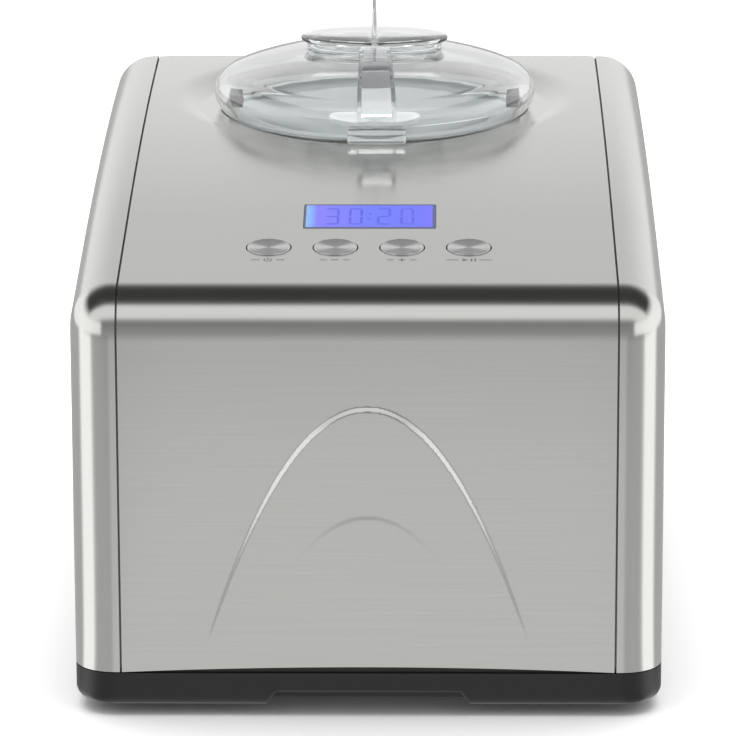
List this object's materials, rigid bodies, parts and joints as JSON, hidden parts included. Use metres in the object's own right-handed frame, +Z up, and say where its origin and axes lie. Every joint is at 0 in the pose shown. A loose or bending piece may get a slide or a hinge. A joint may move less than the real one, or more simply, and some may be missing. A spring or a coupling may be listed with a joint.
{
  "type": "ice cream maker",
  "caption": "Countertop ice cream maker with a built-in compressor, a brushed steel box, a clear domed lid over the bowl and a backlit panel.",
  "frame": {"origin": "middle of the footprint, on the surface the feet stand on", "axes": "+X to the machine's own left-to-right as seen from the front (viewer's right), -Y towards the front with the display, +Y to the rear, +Z up"},
  "size_m": [0.285, 0.425, 0.2987],
  "materials": {
    "brushed_steel": "satin",
    "seat_steel": "satin",
    "plated_steel": "satin",
    "black_plastic": "satin",
    "grey_plastic": "satin",
    "clear_plastic": "gloss",
    "white_plastic": "satin",
    "gear_plastic": "satin",
    "rubber": "matte",
    "seal": "satin",
    "aluminium": "satin",
    "fin_aluminium": "satin",
    "copper": "satin",
    "coil_copper": "satin",
    "foam": "matte",
    "black_enamel": "gloss",
    "die_cast": "satin",
    "hard_steel": "polished",
    "bearing_steel": "polished",
    "stator_steel": "satin",
    "button_metal": "polished",
    "display_glass": "gloss",
    "display_body": "satin",
    "circuit_board": "satin"
  },
  "bodies": {
    "housing": {"base_tray": "black_plastic", "rubber_feet": "rubber", "chassis_plate": "plated_steel", "center_panel": "brushed_steel", "left_side_panel": "brushed_steel", "right_side_panel": "brushed_steel", "rear_panel": "brushed_steel", "panel_screws": "hard_steel", "cord_gland": "black_plastic", "lid_seat_ring": "seat_steel", "evaporator_pot": "aluminium", "pot_insulation": "foam", "evaporator_coil": "coil_copper", "shaft_seal": "rubber", "intermediate_axle": "hard_steel", "gearbox_housing": "die_cast", "gearbox_cover": "die_cast", "upper_bearing": "bearing_steel", "lower_bearing": "bearing_steel", "motor_stator": "stator_steel", "motor_windings": "copper", "motor_case": "plated_steel", "compressor_shell": "black_enamel", "compressor_grommets": "rubber", "compressor_pump": "die_cast", "compressor_terminal_cover": "black_plastic", "condenser_fins": "fin_aluminium", "condenser_tube": "copper", "fan_shroud": "black_plastic", "fan_motor": "black_plastic", "filter_drier": "copper", "discharge_line": "copper", "liquid_line": "copper", "capillary_line": "copper", "suction_line": "copper", "button_carrier": "black_plastic", "control_board": "circuit_board", "display_window": "display_glass", "display_module": "display_body", "power_board": "circuit_board"},
    "bowl": {"bowl": "aluminium", "bowl_grip_left": "black_plastic", "bowl_grip_right": "black_plastic"},
    "paddle_carrier": {"paddle_bush": "gear_plastic"},
    "paddle": {"paddle": "white_plastic", "paddle_hub_knob": "grey_plastic"},
    "lid": {"lid_dome": "clear_plastic", "lid_seal": "seal"},
    "filler_cap": {"filler_cap": "clear_plastic", "cap_seal": "seal"},
    "output": {"drive_shaft": "hard_steel", "output_gear": "gear_plastic"},
    "intermediate": {"intermediate_gear": "gear_plastic"},
    "motor": {"motor_rotor": "stator_steel", "motor_shaft": "hard_steel"},
    "fan": {"fan_blades": "grey_plastic"},
    "button_power": {"button_power": "button_metal"},
    "button_less": {"button_less": "button_metal"},
    "button_more": {"button_more": "button_metal"},
    "button_start": {"button_start": "button_metal"}
  },
  "joints": [
    {"name": "bowl_lift", "type": "slide", "parent": "housing", "child": "bowl", "axis": [0, 0, 1], "range_m": [0, 0.16]},
    {"name": "paddle_lift", "type": "slide", "parent": "bowl", "child": "paddle_carrier", "axis": [0, 0, 1], "range_m": [0, 0.14]},
    {"name": "lid_lift", "type": "slide", "parent": "paddle_carrier", "child": "lid", "axis": [0, 0, 1], "range_m": [0, 0.07]},
    {"name": "cap_lift", "type": "slide", "parent": "lid", "child": "filler_cap", "axis": [0, 0, 1], "range_m": [0, 0.05]},
    {"name": "output_spin", "type": "hinge", "parent": "housing", "child": "output", "pos_m": [0, 0.0885, 0.1], "axis": [0, 0, 1], "continuous": true},
    {"name": "paddle_spin", "type": "hinge", "parent": "paddle_carrier", "child": "paddle", "pos_m": [0, 0.0885, 0.15], "axis": [0, 0, 1], "continuous": true},
    {"name": "intermediate_spin", "type": "hinge", "parent": "housing", "child": "intermediate", "pos_m": [0, 0.0435, 0.06], "axis": [0, 0, 1], "continuous": true},
    {"name": "motor_spin", "type": "hinge", "parent": "housing", "child": "motor", "pos_m": [0, 0.0105, 0.035], "axis": [0, 0, 1], "continuous": true},
    {"name": "fan_spin", "type": "hinge", "parent": "housing", "child": "fan", "pos_m": [0.075, -0.13, 0.09], "axis": [1, 0, 0], "continuous": true},
    {"name": "button_power_press", "type": "slide", "parent": "housing", "child": "button_power", "axis": [0, 0.1219, -0.9925], "range_m": [0, 0.0008], "stiffness_N_per_m": 1500, "springref_m": -0.0006},
    {"name": "button_less_press", "type": "slide", "parent": "housing", "child": "button_less", "axis": [0, 0.1219, -0.9925], "range_m": [0, 0.0008], "stiffness_N_per_m": 1500, "springref_m": -0.0006},
    {"name": "button_more_press", "type": "slide", "parent": "housing", "child": "button_more", "axis": [0, 0.1219, -0.9925], "range_m": [0, 0.0008], "stiffness_N_per_m": 1500, "springref_m": -0.0006},
    {"name": "button_start_press", "type": "slide", "parent": "housing", "child": "button_start", "axis": [0, 0.1219, -0.9925], "range_m": [0, 0.0008], "stiffness_N_per_m": 1500, "springref_m": -0.0006}
  ],
  "couplings": [
    {"joint": "paddle_spin", "follows": "output_spin", "ratio": 1},
    {"joint": "intermediate_spin", "follows": "output_spin", "ratio": -5},
    {"joint": "motor_spin", "follows": "output_spin", "ratio": 22.5}
  ]
}
